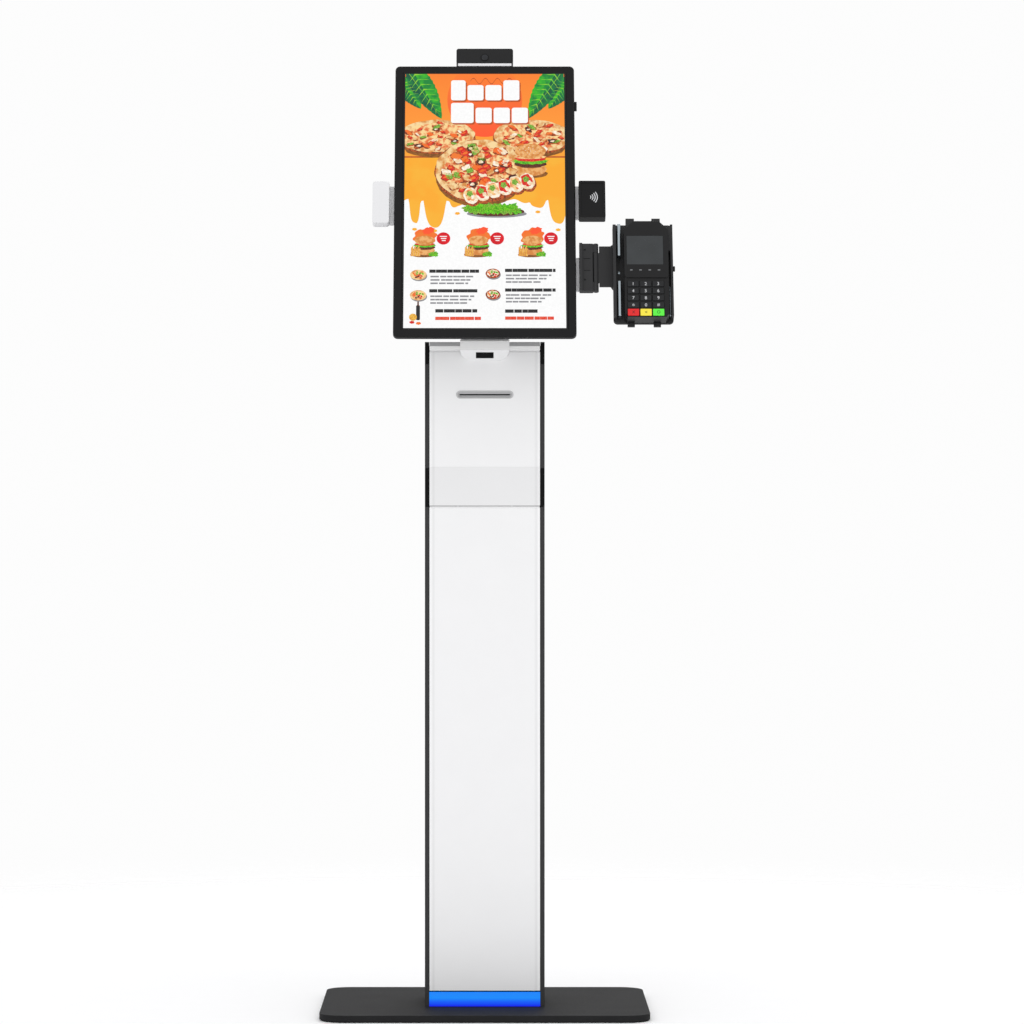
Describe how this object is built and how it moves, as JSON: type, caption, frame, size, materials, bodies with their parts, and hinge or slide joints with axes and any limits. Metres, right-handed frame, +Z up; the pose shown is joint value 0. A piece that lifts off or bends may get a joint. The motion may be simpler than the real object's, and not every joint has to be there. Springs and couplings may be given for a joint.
{
  "type": "self-service kiosk",
  "caption": "Floor-standing self-service kiosk: leaning portrait touch display on a slim column with receipt printer, code scanner, contactless reader and card terminal.",
  "frame": {"origin": "on the floor under the centre of the column, at the underside of the base pad", "axes": "+Z up, the display and doors face -Y, the card terminal is on the +X side"},
  "size_m": [0.5873, 0.3949, 1.6237],
  "materials": {
    "rubber_pad": "matt",
    "dark_paint": "fine textured powder coat",
    "white_paint": "satin powder coat",
    "band_paint": "satin powder coat",
    "cap_paint": "satin powder coat",
    "steel": "brushed",
    "sheet_alloy": "satin",
    "black_trim": "gloss",
    "black_plastic": "fine texture",
    "charcoal_plastic": "fine texture",
    "blue_diffuser": "lit from behind",
    "board": "solder resist",
    "pale_plastic": "satin",
    "grey_plastic": "satin",
    "screen": "clear, image behind",
    "display": "gloss",
    "paper": "smooth",
    "roller_rubber": "matt",
    "rail_metal": "polished",
    "red_key": "satin",
    "yellow_key": "satin",
    "green_key": "satin"
  },
  "bodies": {
    "stand": {"base_pad": "rubber_pad", "base_plate": "dark_paint", "foot_bolts": "steel", "column_channel": "dark_paint", "column_top_cap": "cap_paint", "side_trims": "black_trim", "light_diffuser": "blue_diffuser", "light_board": "pale_plastic", "power_inlet": "black_plastic", "power_supply": "sheet_alloy", "printer_stand": "sheet_alloy", "printer_body": "charcoal_plastic", "neck_bracket": "white_paint", "tilt_pin": "steel"},
    "lower_panel": {"lower_panel": "white_paint"},
    "printer_door": {"printer_door": "white_paint", "door_band": "band_paint", "slot_bezel": "grey_plastic", "scanner_hood": "white_paint", "scanner_window": "black_trim", "scanner_module": "board"},
    "printer_cover": {"printer_cover": "grey_plastic"},
    "platen_roller": {"platen_roller": "roller_rubber"},
    "paper_roll": {"paper_roll": "paper"},
    "head": {"tilt_plate": "dark_paint", "vesa_screws": "steel", "rear_housing": "dark_paint", "head_bezel": "dark_paint", "touch_glass": "screen", "lcd_panel": "sheet_alloy", "main_board": "board", "speakers": "black_plastic", "camera_housing": "charcoal_plastic", "camera_lens": "black_trim", "accessory_mounts": "pale_plastic", "card_reader": "black_plastic", "status_light": "pale_plastic", "terminal_adaptor": "dark_paint"},
    "side_button": {"side_button": "black_plastic"},
    "terminal": {"terminal_arm": "dark_paint", "terminal_cradle": "dark_paint", "cradle_rails": "rail_metal", "terminal_case": "charcoal_plastic", "terminal_display": "display"},
    "cradle_knob": {"cradle_knob": "black_plastic"},
    "key_1": {"key_1": "black_plastic"},
    "key_2": {"key_2": "black_plastic"},
    "key_3": {"key_3": "black_plastic"},
    "key_4": {"key_4": "black_plastic"},
    "key_5": {"key_5": "black_plastic"},
    "key_6": {"key_6": "black_plastic"},
    "key_7": {"key_7": "black_plastic"},
    "key_8": {"key_8": "black_plastic"},
    "key_9": {"key_9": "black_plastic"},
    "key_star": {"key_star": "black_plastic"},
    "key_0": {"key_0": "black_plastic"},
    "key_hash": {"key_hash": "black_plastic"},
    "key_cancel": {"key_cancel": "red_key"},
    "key_clear": {"key_clear": "yellow_key"},
    "key_enter": {"key_enter": "green_key"}
  },
  "joints": [
    {"name": "head_tilt", "type": "hinge", "parent": "stand", "child": "head", "pos_m": [0, -0.0298, 1.30034], "axis": [-1, 0, 0], "range_deg": [0, 20]},
    {"name": "printer_door_drop", "type": "hinge", "parent": "stand", "child": "printer_door", "pos_m": [0, -0.07, 0.8544], "axis": [1, 0, 0], "range_deg": [0, 90]},
    {"name": "lower_panel_tilt", "type": "hinge", "parent": "stand", "child": "lower_panel", "pos_m": [0, -0.07, 0.0445], "axis": [1, 0, 0], "range_deg": [0, 15]},
    {"name": "printer_cover_lift", "type": "hinge", "parent": "stand", "child": "printer_cover", "pos_m": [0, 0.027, 1.046], "axis": [-1, 0, 0], "range_deg": [0, 45]},
    {"name": "platen_spin", "type": "hinge", "parent": "printer_cover", "child": "platen_roller", "pos_m": [0, -0.041, 1.0395], "axis": [1, 0, 0], "continuous": true},
    {"name": "paper_roll_spin", "type": "hinge", "parent": "stand", "child": "paper_roll", "pos_m": [0, 0, 0.9144], "axis": [1, 0, 0], "continuous": true},
    {"name": "terminal_swivel", "type": "hinge", "parent": "head", "child": "terminal", "pos_m": [0.184, -0.12992, 1.24235], "axis": [0, 0.3907, 0.9205], "range_deg": [-30, 20]},
    {"name": "knob_turn", "type": "hinge", "parent": "terminal", "child": "cradle_knob", "pos_m": [0.311, -0.14517, 1.2397], "axis": [1, 0, 0], "range_deg": [0, 90]},
    {"name": "side_button_press", "type": "slide", "parent": "head", "child": "side_button", "axis": [-1, 0, 0], "range_m": [0, 0.001], "stiffness_N_per_m": 600},
    {"name": "key_1_press", "type": "slide", "parent": "terminal", "child": "key_1", "axis": [0, 0.9205, -0.3907], "range_m": [0, 0.001], "stiffness_N_per_m": 500},
    {"name": "key_2_press", "type": "slide", "parent": "terminal", "child": "key_2", "axis": [0, 0.9205, -0.3907], "range_m": [0, 0.001], "stiffness_N_per_m": 500},
    {"name": "key_3_press", "type": "slide", "parent": "terminal", "child": "key_3", "axis": [0, 0.9205, -0.3907], "range_m": [0, 0.001], "stiffness_N_per_m": 500},
    {"name": "key_4_press", "type": "slide", "parent": "terminal", "child": "key_4", "axis": [0, 0.9205, -0.3907], "range_m": [0, 0.001], "stiffness_N_per_m": 500},
    {"name": "key_5_press", "type": "slide", "parent": "terminal", "child": "key_5", "axis": [0, 0.9205, -0.3907], "range_m": [0, 0.001], "stiffness_N_per_m": 500},
    {"name": "key_6_press", "type": "slide", "parent": "terminal", "child": "key_6", "axis": [0, 0.9205, -0.3907], "range_m": [0, 0.001], "stiffness_N_per_m": 500},
    {"name": "key_7_press", "type": "slide", "parent": "terminal", "child": "key_7", "axis": [0, 0.9205, -0.3907], "range_m": [0, 0.001], "stiffness_N_per_m": 500},
    {"name": "key_8_press", "type": "slide", "parent": "terminal", "child": "key_8", "axis": [0, 0.9205, -0.3907], "range_m": [0, 0.001], "stiffness_N_per_m": 500},
    {"name": "key_9_press", "type": "slide", "parent": "terminal", "child": "key_9", "axis": [0, 0.9205, -0.3907], "range_m": [0, 0.001], "stiffness_N_per_m": 500},
    {"name": "key_star_press", "type": "slide", "parent": "terminal", "child": "key_star", "axis": [0, 0.9205, -0.3907], "range_m": [0, 0.001], "stiffness_N_per_m": 500},
    {"name": "key_0_press", "type": "slide", "parent": "terminal", "child": "key_0", "axis": [0, 0.9205, -0.3907], "range_m": [0, 0.001], "stiffness_N_per_m": 500},
    {"name": "key_hash_press", "type": "slide", "parent": "terminal", "child": "key_hash", "axis": [0, 0.9205, -0.3907], "range_m": [0, 0.001], "stiffness_N_per_m": 500},
    {"name": "key_cancel_press", "type": "slide", "parent": "terminal", "child": "key_cancel", "axis": [0, 0.9205, -0.3907], "range_m": [0, 0.001], "stiffness_N_per_m": 500},
    {"name": "key_clear_press", "type": "slide", "parent": "terminal", "child": "key_clear", "axis": [0, 0.9205, -0.3907], "range_m": [0, 0.001], "stiffness_N_per_m": 500},
    {"name": "key_enter_press", "type": "slide", "parent": "terminal", "child": "key_enter", "axis": [0, 0.9205, -0.3907], "range_m": [0, 0.001], "stiffness_N_per_m": 500}
  ],
  "couplings": [
    {"joint": "platen_spin", "follows": "paper_roll_spin", "ratio": 6.3333}
  ]
}
